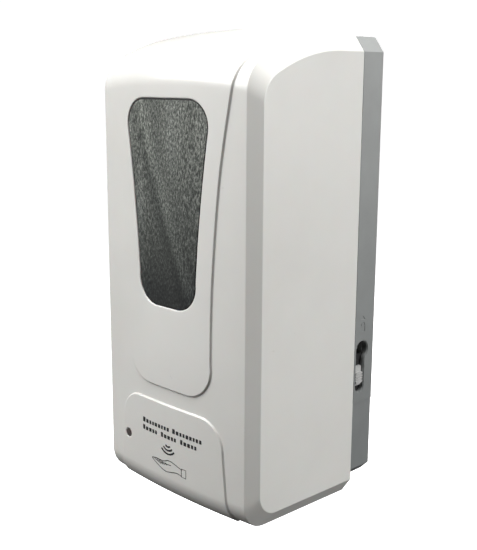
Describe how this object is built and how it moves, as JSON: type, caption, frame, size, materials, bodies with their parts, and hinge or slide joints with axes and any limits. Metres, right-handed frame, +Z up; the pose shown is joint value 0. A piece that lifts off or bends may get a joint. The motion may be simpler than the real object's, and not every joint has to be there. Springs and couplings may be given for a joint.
{
  "type": "wall mounted soap dispenser",
  "caption": "Hands-free wall soap dispenser: bevelled white cover hinged at its foot, smoky window, grey rear housing with side latch, soap tank and peristaltic pump.",
  "frame": {"origin": "on the wall face of the rear housing, at the centre of the four wall-screw holes", "axes": "+X to the right seen from the front, +Y into the wall, +Z up"},
  "size_m": [0.13, 0.1074, 0.2755],
  "materials": {
    "cover_white": "gloss",
    "window_smoke": "smoky, frosted",
    "housing_grey": "fine texture",
    "latch_grey": "satin",
    "module_grey": "fine texture",
    "module_black": "satin",
    "gear_white": "satin",
    "tank_frosted": "translucent, frosted",
    "cap_blue": "satin",
    "silicone": "satin",
    "seal_black": "matt",
    "steel": "brushed",
    "motor_steel": "plated",
    "contact_metal": "plated",
    "board_green": "solder mask",
    "chip_black": "moulded",
    "led_clear": "clear",
    "cell_wrap": "printed wrap, plain",
    "wire_red": "satin"
  },
  "bodies": {
    "housing": {"battery_cells": "cell_wrap", "battery_contacts": "contact_metal", "battery_tray": "module_black", "battery_wires": "wire_red", "board_components": "chip_black", "board_screws": "steel", "case_lid": "module_grey", "case_screws": "steel", "control_board": "board_green", "dose_selector_body": "module_black", "gear_pin": "steel", "gear_plate": "module_black", "hinge_pin_left": "steel", "hinge_pin_right": "steel", "indicator_led": "led_clear", "latch_retainer": "module_black", "lid_screws": "steel", "module_case": "module_grey", "motor": "motor_steel", "motor_end_cap": "module_black", "motor_terminals": "contact_metal", "motor_wires": "wire_red", "nozzle": "silicone", "nozzle_plate": "module_grey", "outlet_seal": "seal_black", "outlet_spigot": "gear_white", "power_switch_body": "module_black", "pump_body": "module_black", "pump_cover_plate": "gear_white", "pump_tube": "silicone", "rear_housing": "housing_grey", "sensor_board": "board_green", "sensor_eyes": "chip_black", "sensor_window": "module_black", "sensor_wires": "wire_red", "soap_tank": "tank_frosted"},
    "cover": {"front_cover": "cover_white", "window_lens": "window_smoke", "indicator_light_pipe": "led_clear", "hinge_ear_left": "cover_white", "hinge_ear_right": "cover_white", "cover_catch": "cover_white"},
    "latch": {"latch_slider": "module_black", "latch_tab": "latch_grey"},
    "rotor": {"pump_rotor": "gear_white", "roller_pins": "steel", "rotor_shaft": "steel", "output_gear": "gear_white"},
    "roller_1": {"roller_1": "gear_white"},
    "roller_2": {"roller_2": "gear_white"},
    "roller_3": {"roller_3": "gear_white"},
    "compound_gear": {"compound_gear": "gear_white"},
    "pinion": {"motor_pinion": "contact_metal", "motor_shaft": "steel"},
    "battery_door": {"battery_door": "module_grey"},
    "power_switch_knob": {"power_switch_knob": "latch_grey"},
    "dose_selector_knob": {"dose_selector_knob": "latch_grey"},
    "tank_cap": {"tank_cap": "cap_blue", "cap_gasket": "seal_black"}
  },
  "joints": [
    {"name": "cover_hinge", "type": "hinge", "parent": "housing", "child": "cover", "pos_m": [0, -0.011, -0.1813], "axis": [1, 0, 0], "range_deg": [0, 90]},
    {"name": "latch_slide", "type": "slide", "parent": "housing", "child": "latch", "axis": [0, 0, 1], "range_m": [0, 0.009]},
    {"name": "rotor_spin", "type": "hinge", "parent": "housing", "child": "rotor", "pos_m": [0, -0.06825, -0.136], "axis": [0, 1, 0], "continuous": true},
    {"name": "roller_1_spin", "type": "hinge", "parent": "rotor", "child": "roller_1", "pos_m": [0, -0.06825, -0.1245], "axis": [0, 1, 0], "continuous": true},
    {"name": "roller_2_spin", "type": "hinge", "parent": "rotor", "child": "roller_2", "pos_m": [-0.00996, -0.06825, -0.14175], "axis": [0, 1, 0], "continuous": true},
    {"name": "roller_3_spin", "type": "hinge", "parent": "rotor", "child": "roller_3", "pos_m": [0.00996, -0.06825, -0.14175], "axis": [0, 1, 0], "continuous": true},
    {"name": "compound_gear_spin", "type": "hinge", "parent": "housing", "child": "compound_gear", "pos_m": [0.01559, -0.05, -0.127], "axis": [0, 1, 0], "continuous": true},
    {"name": "pinion_spin", "type": "hinge", "parent": "housing", "child": "pinion", "pos_m": [0.03118, -0.05, -0.136], "axis": [0, 1, 0], "continuous": true},
    {"name": "battery_door_slide", "type": "slide", "parent": "housing", "child": "battery_door", "axis": [0, 0, -1], "range_m": [0, 0.01]},
    {"name": "power_switch_slide", "type": "slide", "parent": "housing", "child": "power_switch_knob", "axis": [1, 0, 0], "range_m": [0, 0.005]},
    {"name": "dose_selector_slide", "type": "slide", "parent": "housing", "child": "dose_selector_knob", "axis": [1, 0, 0], "range_m": [0, 0.008]},
    {"name": "tank_cap_turn", "type": "hinge", "parent": "housing", "child": "tank_cap", "pos_m": [0, -0.052, 0.058], "axis": [0, 0, 1], "range_deg": [0, 90]}
  ],
  "couplings": [
    {"joint": "roller_1_spin", "follows": "rotor_spin", "ratio": -3.3},
    {"joint": "roller_2_spin", "follows": "rotor_spin", "ratio": -3.3},
    {"joint": "roller_3_spin", "follows": "rotor_spin", "ratio": -3.3},
    {"joint": "compound_gear_spin", "follows": "rotor_spin", "ratio": -4},
    {"joint": "pinion_spin", "follows": "rotor_spin", "ratio": 16}
  ]
}
